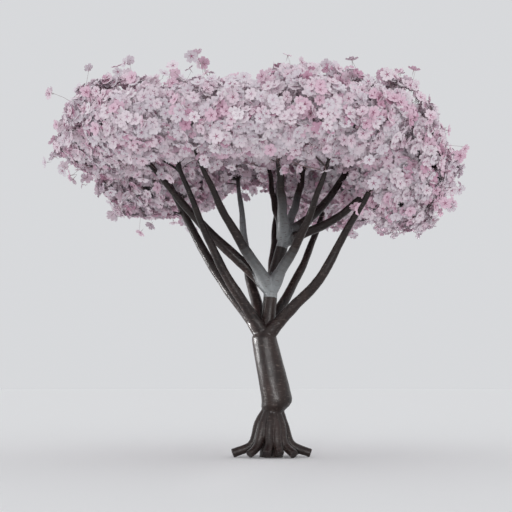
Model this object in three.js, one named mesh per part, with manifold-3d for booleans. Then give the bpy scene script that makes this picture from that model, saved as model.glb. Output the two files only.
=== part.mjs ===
// A flowering cherry in full blossom: a leaning trunk on a fluted root flare, a central leader,
// fourteen boughs that leave it at three heights, and a broad, flat-topped crown of blossom masses.
// Millimetres, +Z up. The origin is the middle of the flat cut at ground level, and -Y is the front.
// Bearings are degrees round the trunk, anticlockwise from +X seen from above.

import * as THREE from "three";
import { mergeVertices } from "three/addons/utils/BufferGeometryUtils.js";
import Module from "manifold-3d";

const wasm = await Module();
wasm.setup();

// Heights that the rest of the tree is set out from.
const collarHeight = 550; // the swollen collar above the roots
const crotchHeight = 1165; // the lowest fork, where the trunk ends
const midForkHeight = 1665;
const topForkHeight = 2180;
const crownMiddle = new THREE.Vector3(-170, 0, 0); // the plan centre that the masses stand round
const clearance = 0.6; // between a limb and the limb it meets
const sliver = 0.15; // surface detail finer than this is dropped after a cut
const massClearance = 1.004; // how much larger than a mass the hollow it leaves in its neighbours is

// The middle of the stem, from the ground to the top fork.
const stemLine = [
  { z: 0, x: 0, y: 0 },
  { z: 425, x: 12, y: -22 },
  { z: collarHeight, x: 58, y: -30 },
  { z: 835, x: 0, y: -58 },
  { z: crotchHeight, x: -70, y: -90 },
  { z: 1345, x: -30, y: -80 },
  { z: midForkHeight, x: 0, y: -50 },
  { z: 1905, x: 65, y: -25 },
  { z: topForkHeight, x: 137, y: 0 },
];

// The trunk's radius at each height: it is waisted inside the roots and overhangs them at the collar.
const trunkRadii = [
  { z: -60, r: 122 },
  { z: 150, r: 112 },
  { z: 400, r: 90 },
  { z: 445, r: 108 },
  { z: 490, r: 139 },
  { z: collarHeight, r: 154 },
  { z: 625, r: 150 },
  { z: 835, r: 141 },
  { z: 1055, r: 131 },
  { z: crotchHeight, r: 125 },
  { z: 1215, r: 104 },
];

// The leader, from the lowest fork to the top fork.
const leaderRadii = [
  { z: crotchHeight, r: 78 },
  { z: midForkHeight, r: 69 },
  { z: topForkHeight, r: 60 },
];

// Each root runs down from the trunk, over a knee, to a blunt toe on the ground.
const rootSize = { toe: 44, knee: 46, top: 42, kneeOut: 198, kneeHeight: 120, topOut: 52 };
const roots = [
  { bearing: 187, reach: 385, from: 540 },
  { bearing: 222, reach: 320, from: 500 },
  { bearing: 256, reach: 270, from: 470 },
  { bearing: 286, reach: 255, from: 460 },
  { bearing: 312, reach: 330, from: 460 },
  { bearing: 354, reach: 390, from: 465 },
  { bearing: 36, reach: 310, from: 470 },
  { bearing: 84, reach: 285, from: 480 },
  { bearing: 136, reach: 320, from: 515 },
];

// Boughs: from is the height they leave the stem at, and each stop is how far out and up from there.
// The last stop lies inside a blossom mass. Base and end are radii.
const boughs = [
  {
    name: "bough_low_left_front", from: 1195, bearing: 216, base: 60, end: 18,
    stops: [[517, 644], [1074, 1691]],
  },
  {
    name: "bough_low_right_front", from: 1165, bearing: 332, base: 64, end: 26,
    stops: [[350, 322], [616, 569], [803, 871], [983, 1150], [1130, 1370]],
  },
  {
    name: "bough_low_left_rear", from: 1175, bearing: 166, base: 66, end: 22,
    stops: [[530, 708], [1120, 1800]],
  },
  {
    name: "bough_low_rear", from: 1215, bearing: 112, base: 66, end: 20,
    stops: [[407, 583], [760, 1660]],
  },
  {
    name: "bough_low_right_rear", from: 1205, bearing: 42, base: 56, end: 24,
    stops: [[512, 692], [870, 1380]],
  },
  {
    name: "bough_mid_front_left", from: 1645, bearing: 230, base: 62, end: 17,
    stops: [[690, 675], [1165, 1310]],
  },
  {
    name: "bough_mid_right", from: 1655, bearing: 308, base: 60, end: 17,
    stops: [[507, 548], [890, 1190]],
  },
  {
    name: "bough_mid_left", from: 1655, bearing: 190, base: 66, end: 20,
    stops: [[663, 592], [1330, 1350]],
  },
  {
    name: "bough_mid_rear", from: 1655, bearing: 84, base: 52, end: 20,
    stops: [[430, 540], [960, 1330]],
  },
  {
    name: "bough_top_front", from: 2165, bearing: 262, base: 60, end: 26,
    stops: [[187, 308], [470, 830]],
  },
  {
    name: "bough_top_rear_right", from: 2165, bearing: 52, base: 48, end: 26,
    stops: [[236, 453], [369, 900]],
  },
  {
    name: "bough_top_rear_left", from: 2165, bearing: 112, base: 40, end: 20,
    stops: [[250, 373], [420, 860]],
  },
  {
    name: "bough_top_right", from: 2175, bearing: 8, base: 54, end: 28,
    stops: [[384, 317], [680, 740]],
  },
  {
    name: "bough_top_low_right", from: 2125, bearing: 338, base: 50, end: 30,
    stops: [[546, 206], [890, 470]],
  },
];

// Blossom masses round the crown's middle: deep is the half size along the bearing and wide across it,
// low and high are the heights of the underside and the top, and a spray is an outlying tip.
const masses = [
  {
    name: "blossom_left_outer", bearing: 182, distance: 1350, deep: 560, wide: 700, low: 2880, high: 3600,
    sprays: [{ bearing: 184, lift: -12, reach: 760 }, { bearing: 205, lift: 46, reach: 620 }],
  },
  {
    name: "blossom_right_outer", bearing: 357, distance: 1440, deep: 500, wide: 760, low: 2290, high: 3560,
    sprays: [{ bearing: 352, lift: 2, reach: 700 }, { bearing: 20, lift: 60, reach: 770 }],
  },
  {
    name: "blossom_left_front", bearing: 222, distance: 1250, deep: 670, wide: 660, low: 2870, high: 3550,
    sprays: [{ bearing: 225, lift: 62, reach: 440 }],
  },
  {
    name: "blossom_right_front", bearing: 315, distance: 1180, deep: 690, wide: 690, low: 2850, high: 3560,
    sprays: [{ bearing: 330, lift: 58, reach: 500 }],
  },
  {
    name: "blossom_left_rear", bearing: 138, distance: 1255, deep: 720, wide: 750, low: 2560, high: 3600,
    sprays: [{ bearing: 175, lift: -38, reach: 740 }],
  },
  {
    name: "blossom_right_rear", bearing: 44, distance: 1270, deep: 720, wide: 740, low: 2430, high: 3620,
    sprays: [],
  },
  {
    name: "blossom_front", bearing: 273, distance: 1170, deep: 620, wide: 640, low: 2820, high: 3330,
    sprays: [{ bearing: 20, lift: 62, reach: 400 }],
  },
  {
    name: "blossom_rear", bearing: 90, distance: 1280, deep: 640, wide: 680, low: 2890, high: 3620,
    sprays: [{ bearing: 70, lift: 64, reach: 520 }],
  },
  {
    name: "blossom_centre_right", bearing: 356, distance: 440, deep: 650, wide: 760, low: 2990, high: 3790,
    sprays: [{ bearing: 262, lift: 72, reach: 600 }],
  },
  {
    name: "blossom_centre_left", bearing: 178, distance: 430, deep: 560, wide: 740, low: 2940, high: 3560,
    sprays: [{ bearing: 100, lift: 72, reach: 460 }],
  },
];

const barkMaterial = new THREE.MeshStandardMaterial({ color: 0x3c3534, roughness: 0.55, metalness: 0 });
const blossomMaterial = new THREE.MeshStandardMaterial({ color: 0xe3c6d1, roughness: 0.8, metalness: 0 });

const radians = THREE.MathUtils.degToRad;

// A value read off a list of rings, straight between them and held past its ends.
function readOff(rings, z, key) {
  if (z <= rings[0].z) return rings[0][key];
  const above = rings.findIndex((ring) => ring.z >= z);
  if (above < 0) return rings[rings.length - 1][key];
  const [a, b] = [rings[above - 1], rings[above]];
  return THREE.MathUtils.lerp(a[key], b[key], (z - a.z) / (b.z - a.z));
}

function stemAt(z) {
  return new THREE.Vector3(readOff(stemLine, z, "x"), readOff(stemLine, z, "y"), z);
}

function outward(bearing, out, up) {
  return new THREE.Vector3(out * Math.cos(radians(bearing)), out * Math.sin(radians(bearing)), up);
}

// A three.js geometry as a manifold-3d solid.
function solidOf(geometry) {
  const bare = geometry.clone();
  bare.deleteAttribute("normal");
  bare.deleteAttribute("uv");
  const merged = mergeVertices(bare, 1e-3);
  return new wasm.Manifold(
    new wasm.Mesh({
      numProp: 3,
      vertProperties: new Float32Array(merged.attributes.position.array),
      triVerts: new Uint32Array(merged.index.array),
    }),
  );
}

function geometryOf(solid) {
  const { numProp, numVert, vertProperties, triVerts } = solid.getMesh();
  const places = new Float32Array(numVert * 3);
  for (let i = 0; i < numVert; i++) {
    places.set(vertProperties.subarray(i * numProp, i * numProp + 3), i * 3);
  }
  const geometry = new THREE.BufferGeometry();
  geometry.setAttribute("position", new THREE.BufferAttribute(places, 3));
  geometry.setIndex(new THREE.BufferAttribute(triVerts, 1));
  geometry.computeVertexNormals();
  return geometry;
}

// A capped cylinder bent along a curve. radiusAt gives its radius from 0 at its foot to 1 at its end.
function limbSolid(curve, radiusAt, side, { sides, rings, grow = 0 }) {
  const geometry = new THREE.CylinderGeometry(1, 1, 1, sides, rings);
  const places = geometry.attributes.position;
  const length = curve.getLength();
  for (let i = 0; i < places.count; i++) {
    const along = places.getY(i) + 0.5;
    const tangent = curve.getTangentAt(along);
    const across = side.clone().addScaledVector(tangent, -side.dot(tangent)).normalize();
    const other = new THREE.Vector3().crossVectors(across, tangent);
    const radius = radiusAt(along, along * length) + grow;
    const place = curve.getPointAt(along);
    place.addScaledVector(across, places.getX(i) * radius);
    place.addScaledVector(other, places.getZ(i) * radius);
    if (along === 0) place.addScaledVector(tangent, -grow);
    if (along === 1) place.addScaledVector(tangent, grow);
    places.setXYZ(i, place.x, place.y, place.z);
  }
  return solidOf(geometry);
}

// Level rings round the stem's middle, from one height to another.
function stemSolid(bottom, top, radiusAtHeight, { sides, rings, grow = 0 }) {
  const geometry = new THREE.CylinderGeometry(1, 1, 1, sides, rings).rotateX(Math.PI / 2);
  const places = geometry.attributes.position;
  for (let i = 0; i < places.count; i++) {
    const z = THREE.MathUtils.lerp(bottom - grow, top + grow, places.getZ(i) + 0.5);
    const middle = stemAt(z);
    const radius = radiusAtHeight(z) + grow;
    places.setXYZ(i, middle.x + places.getX(i) * radius, middle.y + places.getY(i) * radius, z);
  }
  return solidOf(geometry);
}

function rootSolid({ bearing, reach, from }, grow) {
  const { toe, knee, top, kneeOut, kneeHeight, topOut } = rootSize;
  const middleOut = (topOut + kneeOut) / 2;
  const middleHeight = (from + kneeHeight) / 2;
  const curve = new THREE.CatmullRomCurve3([
    outward(bearing, topOut, from).add(stemAt(from).setZ(0)),
    outward(bearing, middleOut, middleHeight + 20).add(stemAt(middleHeight).setZ(0)),
    outward(bearing, kneeOut, kneeHeight),
    outward(bearing, reach, toe - 4),
  ]);
  const kneeAlong = 0.7;
  const radiusAt = (along) =>
    along < kneeAlong
      ? THREE.MathUtils.lerp(top, knee, along / kneeAlong)
      : THREE.MathUtils.lerp(knee, toe, (along - kneeAlong) / (1 - kneeAlong));
  return limbSolid(curve, radiusAt, outward(bearing + 90, 1, 0), { sides: 7, rings: 6, grow });
}

// The trunk with its roots, cut off flat at the ground.
function trunkSolid(grow = 0) {
  const [foot, head] = [trunkRadii[0].z, trunkRadii[trunkRadii.length - 1].z];
  const radiusAt = (z) => readOff(trunkRadii, z, "r");
  let solid = stemSolid(foot, head, radiusAt, { sides: 16, rings: 14, grow });
  for (const root of roots) solid = solid.add(rootSolid(root, grow));
  const belowGround = new THREE.BoxGeometry(2000, 2000, 400).translate(0, 0, -200);
  return solid.subtract(solidOf(belowGround));
}

function leaderSolid(grow = 0) {
  const radiusAt = (z) => readOff(leaderRadii, z, "r");
  return stemSolid(crotchHeight - 60, topForkHeight + 30, radiusAt, { sides: 12, rings: 10, grow });
}

function boughSolid({ from, bearing, stops, base, end }, grow = 0) {
  const start = stemAt(from);
  const places = [start, ...stops.map((stop) => start.clone().add(outward(bearing, ...stop)))];
  const curve = new THREE.CatmullRomCurve3(places, false, "centripetal");
  const swelling = 0.16; // how much thicker the bough is where it leaves the stem
  const swellingLength = 260;
  const radiusAt = (along, distance) => {
    const swollen = 1 + swelling * Math.max(0, 1 - distance / swellingLength);
    return THREE.MathUtils.lerp(base, end, along ** 1.15) * swollen;
  };
  return limbSolid(curve, radiusAt, outward(bearing + 90, 1, 0), { sides: 8, rings: 7, grow });
}

function massMiddle({ bearing, distance, low, high }) {
  return outward(bearing, distance, (low + high) / 2).add(crownMiddle);
}

// One uneven mass: a ball squared off and made lumpy, with the corner nearest each spray drawn out.
// Every corner stays on its own line from the middle, so the same mass made larger always encloses it.
function massSolid(mass, index, scale = 1) {
  const { bearing, deep, wide, low, high, sprays } = mass;
  const middle = massMiddle(mass);
  const tall = (high - low) / 2;
  const squareness = 2.6; // 2 is a plain ellipsoid
  const geometry = new THREE.IcosahedronGeometry(1, 3);
  const places = geometry.attributes.position;
  const corners = [];
  for (let i = 0; i < places.count; i++) {
    const d = new THREE.Vector3().fromBufferAttribute(places, i);
    const powers = Math.abs(d.x) ** squareness + Math.abs(d.y) ** squareness + Math.abs(d.z) ** squareness;
    const lumps =
      0.055 * Math.sin(5.1 * d.x + 3.3 * d.z + index * 1.7) * Math.cos(4.3 * d.y - 2.1 * d.x + index) +
      0.04 * Math.sin(8.3 * d.y + 6.1 * d.z + index * 2.9) +
      0.03 * Math.cos(9.7 * d.x - 7.9 * d.z + index * 0.8);
    const reach = powers ** (-1 / squareness) * (0.95 + lumps);
    const corner = outward(bearing, d.x * deep * reach, d.z * tall * reach);
    corners.push(corner.add(outward(bearing + 90, d.y * wide * reach, 0)));
  }
  for (const spray of sprays) {
    const line = outward(spray.bearing, Math.cos(radians(spray.lift)), Math.sin(radians(spray.lift)));
    const closeness = (corner) => corner.dot(line) / corner.length();
    const nearest = corners.reduce((a, b) => (closeness(a) >= closeness(b) ? a : b)).clone();
    for (const corner of corners) if (corner.distanceTo(nearest) < 1e-2) corner.setLength(spray.reach);
  }
  corners.forEach((corner, i) => {
    corner.multiplyScalar(scale).add(middle);
    places.setXYZ(i, corner.x, corner.y, corner.z);
  });
  return solidOf(geometry);
}

// Cuts a solid back from what is already there and keeps the largest piece, less its finest slivers.
function cutBack(solid, taken) {
  const left = taken.reduce((remaining, other) => remaining.subtract(other), solid).decompose();
  return left.reduce((a, b) => (a.volume() >= b.volume() ? a : b)).simplify(sliver);
}

const tree = new THREE.Group();
const crown = new THREE.Group();
const wood = new THREE.Group();
tree.add(crown, wood);

// Puts a solid into a group as a mesh whose own origin is at the place given.
function addPiece(group, name, solid, place, material) {
  const geometry = geometryOf(solid).translate(-place.x, -place.y, -place.z);
  const mesh = new THREE.Mesh(geometry, material.clone());
  mesh.name = name;
  mesh.position.copy(place);
  group.add(mesh);
}

// Masses first, each clear of those before it. Limbs then end where they enter a mass.
const taken = [];
masses.forEach((mass, index) => {
  addPiece(crown, mass.name, cutBack(massSolid(mass, index), taken), massMiddle(mass), blossomMaterial);
  taken.push(massSolid(mass, index, massClearance));
});

const limbs = [
  { name: "trunk", place: stemAt(0), make: trunkSolid },
  { name: "leader", place: stemAt(crotchHeight), make: leaderSolid },
  ...boughs.map((bough) => {
    return { name: bough.name, place: stemAt(bough.from), make: (grow) => boughSolid(bough, grow) };
  }),
];
for (const { name, place, make } of limbs) {
  addPiece(wood, name, cutBack(make(0), taken), place, barkMaterial);
  taken.push(make(clearance));
}

export default tree;
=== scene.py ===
import math

import bpy
import numpy as np
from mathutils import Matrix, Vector
from mathutils.bvhtree import BVHTree


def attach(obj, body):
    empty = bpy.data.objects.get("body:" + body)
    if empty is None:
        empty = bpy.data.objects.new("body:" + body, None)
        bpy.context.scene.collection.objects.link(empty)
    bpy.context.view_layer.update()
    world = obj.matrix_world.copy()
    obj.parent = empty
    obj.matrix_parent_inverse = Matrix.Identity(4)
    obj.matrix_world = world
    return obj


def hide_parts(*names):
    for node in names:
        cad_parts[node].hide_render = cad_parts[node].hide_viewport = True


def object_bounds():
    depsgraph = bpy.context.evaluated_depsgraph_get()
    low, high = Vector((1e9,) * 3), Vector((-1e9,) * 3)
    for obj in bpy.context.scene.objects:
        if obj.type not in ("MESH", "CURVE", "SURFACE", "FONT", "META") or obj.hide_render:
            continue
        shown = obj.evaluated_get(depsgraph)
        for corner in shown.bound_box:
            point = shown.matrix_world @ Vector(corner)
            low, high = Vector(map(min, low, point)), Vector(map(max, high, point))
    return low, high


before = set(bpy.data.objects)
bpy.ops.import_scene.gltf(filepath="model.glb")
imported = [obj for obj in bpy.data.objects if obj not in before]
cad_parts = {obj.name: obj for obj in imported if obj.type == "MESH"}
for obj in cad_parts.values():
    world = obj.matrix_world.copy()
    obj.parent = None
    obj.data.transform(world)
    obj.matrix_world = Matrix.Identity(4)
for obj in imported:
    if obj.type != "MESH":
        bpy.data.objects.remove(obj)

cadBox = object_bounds()
chance = np.random.default_rng(11)  # every random choice below comes from here, so each run is the same tree
massNames = sorted(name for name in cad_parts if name.startswith("blossom_"))

# ---- studio

studio = {
    "cameraPlace": (-0.15, -12.0, 0.8),
    "aimHeight": 1.985,  # where the middle of the view crosses the trunk's plane
    "lens": 84.8,
    "floorColour": (0.890, 0.890, 0.890),
    "floorRoughness": 0.9,
    "floorRadius": 60,
    "skyColour": (0.76, 0.77, 0.79),
    "skyStrength": 0.90,
    "sunAim": 1.4,  # height that the suns are turned to
    "suns": [  # name, place it shines from, strength, softness in degrees
        ("keyLight", (-4.0, -7.0, 7.0), 0.15, 90),
        ("frontFill", (1.5, -9.0, 1.2), 0.30, 90),
        ("leftFill", (-8.0, 5.0, 2.4), 0.30, 90),
        ("rightFill", (8.0, 5.0, 2.4), 0.30, 90),
    ],
    "rims": [  # name, place, size, power, height aimed at; narrow and near level, so the floor stays even
        ("leftRim", (-5.8, 0.7, 0.8), 1.2, 9.0, 1.5),
        ("frontStreak", (1.9, -7.0, 1.0), 0.20, 1.8, 1.5),
        ("footLight", (-0.9, -6.5, 0.55), 0.50, 2.2, 0.45),
    ],
    "rimBeam": 15,  # degrees
}


def addLight(kind, name, place, size, power, aim):
    bpy.ops.object.light_add(type=kind, location=place)
    light = bpy.context.object
    light.name = name
    light.data.energy = power
    light.rotation_euler = (Vector((0.0, 0.0, aim)) - Vector(place)).to_track_quat("-Z", "Y").to_euler()
    if kind == "SUN":
        light.data.angle = math.radians(size)
    else:
        light.data.shape = "DISK"
        light.data.size = size
        light.data.spread = math.radians(studio["rimBeam"])


def setStudio():
    bpy.ops.object.select_all(action="DESELECT")
    place = studio["cameraPlace"]
    pitch = math.atan2(studio["aimHeight"] - place[2], -place[1])
    bpy.ops.object.camera_add(location=place, rotation=(math.radians(90) + pitch, 0, 0))
    camera = bpy.context.object
    camera.data.lens = studio["lens"]
    bpy.context.scene.camera = camera
    for name, spot, strength, softness in studio["suns"]:
        addLight("SUN", name, spot, softness, strength, studio["sunAim"])
    for name, spot, size, power, aim in studio["rims"]:
        addLight("AREA", name, spot, size, power, aim)

    bpy.ops.mesh.primitive_circle_add(vertices=96, radius=studio["floorRadius"], fill_type="NGON")
    floor = bpy.context.object
    floor.name = "floor"
    paint = bpy.data.materials.new("paleFloor")
    paint.use_nodes = True
    shader = paint.node_tree.nodes["Principled BSDF"]
    shader.inputs["Base Color"].default_value = (*studio["floorColour"], 1)
    shader.inputs["Roughness"].default_value = studio["floorRoughness"]
    floor.data.materials.append(paint)

    world = bpy.data.worlds.new("softStudio")
    bpy.context.scene.world = world
    world.use_nodes = True
    world.node_tree.nodes["Background"].inputs["Color"].default_value = (*studio["skyColour"], 1)
    world.node_tree.nodes["Background"].inputs["Strength"].default_value = studio["skyStrength"]
    bpy.context.scene.view_settings.view_transform = "Standard"


setStudio()
print("studio set")

# ---- materials


def linear(colour):
    # screen colour to the linear values that a shader's socket takes
    return tuple(c / 12.92 if c <= 0.04045 else ((c + 0.055) / 1.055) ** 2.4 for c in colour)


def newMaterial(name, colour, **settings):
    material = bpy.data.materials.new(name)
    material.use_nodes = True
    shader = material.node_tree.nodes["Principled BSDF"]
    shader.inputs["Base Color"].default_value = (*linear(colour), 1)
    for socket, value in settings.items():
        shader.inputs[socket].default_value = value
    return material


def addNode(material, kind, **values):
    node = material.node_tree.nodes.new(kind)
    for key, value in values.items():
        if key in node.inputs:
            node.inputs[key].default_value = value
        else:
            setattr(node, key, value)
    return node


barkFinish = {
    "coat": 0.10,
    "coatRoughness": 0.30,
    "specular": 0.30,
    "roughness": (0.28, 0.46),
    "bumpStrength": 0.35,
    "bumpDepth": 0.004,
    # patterns: scale, how much they are flattened in height, detail, roughness
    "patches": (7, 0.45, 4, 0.55),
    "dashes": (26, 5.5, 2, 0.40),
    "polish": (18, 2.5, 3, 0.55),
    "grain": (90, 3.2, 4, 0.55),
    # where a pattern starts to show and where it shows fully
    "patchRange": (0.35, 0.68),
    "dashRange": (0.61, 0.70),
}
barkLook = {
    "dark": (0.100, 0.070, 0.066),
    "warm": (0.165, 0.120, 0.110),
    "silverAndReflection": (0.490, 0.502, 0.508),  # smooth young bark by the forks, lightened further as a painted reflection
    "lenticel": (0.300, 0.262, 0.245),
}
twigLook = {  # the stout twigs
    "dark": (0.200, 0.150, 0.145),
    "warm": (0.300, 0.230, 0.225),
    "silverAndReflection": (0.400, 0.380, 0.380),
    "lenticel": (0.420, 0.350, 0.340),
}
shootLook = {  # the thin shoots among the flowers
    "dark": (0.540, 0.440, 0.450),
    "warm": (0.640, 0.540, 0.545),
    "silverAndReflection": (0.640, 0.600, 0.600),
    "lenticel": (0.680, 0.590, 0.590),
}


def barkMaterial(name, look):
    material = newMaterial(name, look["dark"])
    links = material.node_tree.links
    shader = material.node_tree.nodes["Principled BSDF"]
    shader.inputs["Coat Weight"].default_value = barkFinish["coat"]
    shader.inputs["Coat Roughness"].default_value = barkFinish["coatRoughness"]
    shader.inputs["Specular IOR Level"].default_value = barkFinish["specular"]
    place = addNode(material, "ShaderNodeTexCoord")

    def pattern(name):
        scale, squash, detail, roughness = barkFinish[name]
        stretch = addNode(material, "ShaderNodeMapping")
        stretch.inputs["Scale"].default_value = (scale, scale, scale * squash)
        noise = addNode(material, "ShaderNodeTexNoise", Scale=1, Detail=detail, Roughness=roughness)
        links.new(place.outputs["Object"], stretch.inputs["Vector"])
        links.new(stretch.outputs["Vector"], noise.inputs["Vector"])
        return noise.outputs["Fac"]

    def ramp(source, low, high):
        node = addNode(material, "ShaderNodeValToRGB")
        node.color_ramp.elements[0].position = low
        node.color_ramp.elements[1].position = high
        links.new(source, node.inputs["Fac"])
        return node.outputs["Color"]

    def mix(factor, a, b):
        # inputs 6 and 7 and output 2 are a Mix node's colours
        node = addNode(material, "ShaderNodeMix", data_type="RGBA")
        links.new(factor, node.inputs["Factor"])
        for value, socket in ((a, node.inputs[6]), (b, node.inputs[7])):
            if isinstance(value, tuple):
                socket.default_value = (*linear(value), 1)
            else:
                links.new(value, socket)
        return node.outputs[2]

    body = mix(ramp(pattern("patches"), *barkFinish["patchRange"]), look["dark"], look["warm"])
    # painted reflection: the silver at the bough feet lightens the bark colour as well as standing for young
    # bark
    silverAndReflectionLayer = addNode(material, "ShaderNodeAttribute", attribute_name="silverAndReflection")
    body = mix(silverAndReflectionLayer.outputs["Fac"], body, look["silverAndReflection"])
    body = mix(ramp(pattern("dashes"), *barkFinish["dashRange"]), body, look["lenticel"])
    links.new(body, shader.inputs["Base Color"])
    rough = addNode(material, "ShaderNodeMapRange")
    rough.inputs["To Min"].default_value, rough.inputs["To Max"].default_value = barkFinish["roughness"]
    links.new(pattern("polish"), rough.inputs["Value"])
    links.new(rough.outputs["Result"], shader.inputs["Roughness"])
    bump = addNode(
        material, "ShaderNodeBump", Strength=barkFinish["bumpStrength"], Distance=barkFinish["bumpDepth"])
    links.new(pattern("grain"), bump.inputs["Height"])
    links.new(bump.outputs["Normal"], shader.inputs["Normal"])
    return material


trunkMaterial = barkMaterial("trunkBark", barkLook)
boughMaterial = barkMaterial("boughBark", barkLook)
twigMaterial = barkMaterial("twigBark", twigLook)
shootMaterial = barkMaterial("shootBark", shootLook)

# ---- stem, roots and boughs, in metres; bearings are degrees anticlockwise from +X seen from above

stem = {
    "line": [  # height, x, y
        (0.0, 0.0, 0.0), (0.425, 0.012, -0.022), (0.550, 0.058, -0.030), (0.835, 0.0, -0.058),
        (1.165, -0.070, -0.090), (1.345, -0.030, -0.080), (1.665, 0.0, -0.050), (1.905, 0.065, -0.025),
        (2.180, 0.137, 0.0),
    ],
    "trunkRadii": [  # height, radius
        (-0.06, 0.120), (0.15, 0.110), (0.40, 0.088), (0.445, 0.106), (0.49, 0.137), (0.55, 0.153),
        (0.625, 0.149), (0.835, 0.140), (1.055, 0.130), (1.165, 0.124), (1.25, 0.098),
    ],
    "leaderRadii": [(1.105, 0.080), (1.165, 0.077), (1.665, 0.068), (2.18, 0.059), (2.22, 0.050)],
}

roots = {
    "toe": 0.043,  # radii at its end, at its knee and where it leaves the trunk
    "knee": 0.045,
    "top": 0.041,
    "kneeOut": 0.198,
    "kneeHeight": 0.120,
    "topOut": 0.052,
    "bulge": 0.02,  # how far the middle of the upper part stands above a straight line
    "toeSink": 0.004,
    "followStem": 0.6,  # how much of the stem's lean to the side the foot takes
    "wander": 0.004,
    "swell": (0.05, 9),  # of the radius, and how quickly it comes and goes
    "each": {  # bearing: how far it reaches, and the height it leaves the trunk at
        187: (0.385, 0.540), 222: (0.320, 0.500), 256: (0.270, 0.470), 286: (0.255, 0.460),
        312: (0.330, 0.460), 354: (0.390, 0.465), 36: (0.310, 0.470), 84: (0.285, 0.480),
        136: (0.320, 0.515),
    },
    "sides": 16,
    "rings": 14,
}

# small forks where a bough ends: how far along it, then each fork's (x, y, z) way from there, radius
forks = {
    "bough_low_rear": (0.985, [(-0.085, -0.03, 0.045), (0.150, -0.04, 0.180)], 0.011),
    "bough_low_left_rear": (0.700, [(-0.120, -0.05, 0.030), (-0.020, -0.09, 0.210)], 0.012),
    "bough_top_low_right": (0.960, [(0.190, -0.04, 0.150), (0.230, 0.03, 0.060)], 0.012),
    "bough_low_left_front": (0.900, [(-0.060, 0.0, 0.260), (-0.190, 0.02, 0.130)], 0.011),
}

# name: height it leaves at, bearing, (out, up) stops, radius at its foot and at its end, and its silver bark
# and painted reflection, which has its middle so far along the bough and fades out over so much on each side
boughs = {
    "bough_low_left_front": (1.195, 216, [(0.517, 0.644), (1.074, 1.691)], 0.060, 0.018, (0.0, 0.0)),
    "bough_low_right_front": (
        1.165, 332, [(0.350, 0.322), (0.616, 0.569), (0.803, 0.871), (0.983, 1.150), (1.130, 1.370)],
        0.064, 0.026, (0.0, 0.0)),
    "bough_low_left_rear": (1.175, 166, [(0.530, 0.708), (1.120, 1.800)], 0.066, 0.022, (0.0, 0.0)),
    "bough_low_rear": (1.215, 112, [(0.407, 0.583), (0.760, 1.660)], 0.066, 0.020, (1.30, 0.55)),
    "bough_low_right_rear": (1.205, 42, [(0.512, 0.692), (0.870, 1.380)], 0.056, 0.024, (0.0, 0.20)),
    "bough_mid_front_left": (1.645, 230, [(0.690, 0.675), (1.165, 1.310)], 0.062, 0.017, (0.0, 0.62)),
    "bough_mid_right": (1.655, 308, [(0.507, 0.548), (0.890, 1.190)], 0.060, 0.017, (0.0, 0.55)),
    "bough_mid_left": (1.655, 190, [(0.663, 0.592), (1.330, 1.350)], 0.066, 0.020, (0.0, 0.12)),
    "bough_mid_rear": (1.655, 84, [(0.430, 0.540), (0.960, 1.330)], 0.052, 0.020, (0.0, 0.20)),
    "bough_top_front": (2.165, 262, [(0.187, 0.308), (0.470, 0.830)], 0.060, 0.026, (0.05, 0.45)),
    "bough_top_rear_right": (2.165, 52, [(0.236, 0.453), (0.369, 0.900)], 0.048, 0.026, (0.1, 0.45)),
    "bough_top_rear_left": (2.165, 112, [(0.250, 0.373), (0.420, 0.860)], 0.040, 0.020, (0.0, 0.3)),
    "bough_top_right": (2.175, 8, [(0.384, 0.317), (0.680, 0.740)], 0.054, 0.028, (0.0, 0.2)),
    "bough_top_low_right": (2.125, 338, [(0.546, 0.206), (0.890, 0.470)], 0.050, 0.030, (0.0, 0.15)),
}

boughShape = {
    "taper": 1.15,  # the power of the way along by which it thins
    "flare": 0.16,  # how much thicker the foot is
    "flareLength": 0.26,
    "spanPoints": 60,  # worked out between two stops of a limb's line
    "wanderTurn": 0.9,  # radians of its wander from one ring to the next
}


def readOff(rows, height):
    # columns of a table read at a height, straight between its rows
    table = np.array(rows, float)
    return [np.interp(height, table[:, 0], column) for column in table.T[1:]]


def stemAt(height):
    return np.array([*readOff(stem["line"], height), height])


def smoothPath(stops, count):
    # an even walk along the centripetal curve through the stops
    points = [np.array(stop, float) for stop in stops]
    points = [2 * points[0] - points[1], *points, 2 * points[-1] - points[-2]]
    walk = []
    for a, b, c, d in zip(points, points[1:], points[2:], points[3:]):
        ta, tb, tc = (np.linalg.norm(q - p) ** 0.5 for p, q in ((a, b), (b, c), (c, d)))
        leave = ((b - a) / ta - (c - a) / (ta + tb) + (c - b) / tb) * tb
        arrive = ((c - b) / tb - (d - b) / (tb + tc) + (d - c) / tc) * tb
        for t in np.linspace(0, 1, boughShape["spanPoints"], endpoint=False):
            cubic = (2 * t**3 - 3 * t**2 + 1) * b + (t**3 - 2 * t**2 + t) * leave
            walk.append(cubic + (3 * t**2 - 2 * t**3) * c + (t**3 - t**2) * arrive)
    walk = np.array([*walk, points[-2]])
    gone = np.concatenate([[0], np.cumsum(np.linalg.norm(np.diff(walk, axis=0), axis=1))])
    even = np.linspace(0, gone[-1], count + 1)
    return np.stack([np.interp(even, gone, column) for column in walk.T], 1), even


def boughRadius(base, end, distance, length):
    flare = boughShape["flare"] * np.maximum(0, 1 - distance / boughShape["flareLength"])
    return (base + (end - base) * (distance / length) ** boughShape["taper"]) * (1 + flare)


def onBearing(bearing):
    # level direction of a bearing in degrees
    return np.array([math.cos(math.radians(bearing)), math.sin(math.radians(bearing))])


def closeEnds():
    # caps every open end of the tube that is being edited
    bpy.ops.mesh.select_all(action="DESELECT")
    bpy.ops.mesh.select_non_manifold(extend=False)
    bpy.ops.mesh.edge_face_add()
    bpy.ops.mesh.select_all(action="SELECT")
    bpy.ops.mesh.normals_make_consistent(inside=False)


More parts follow.
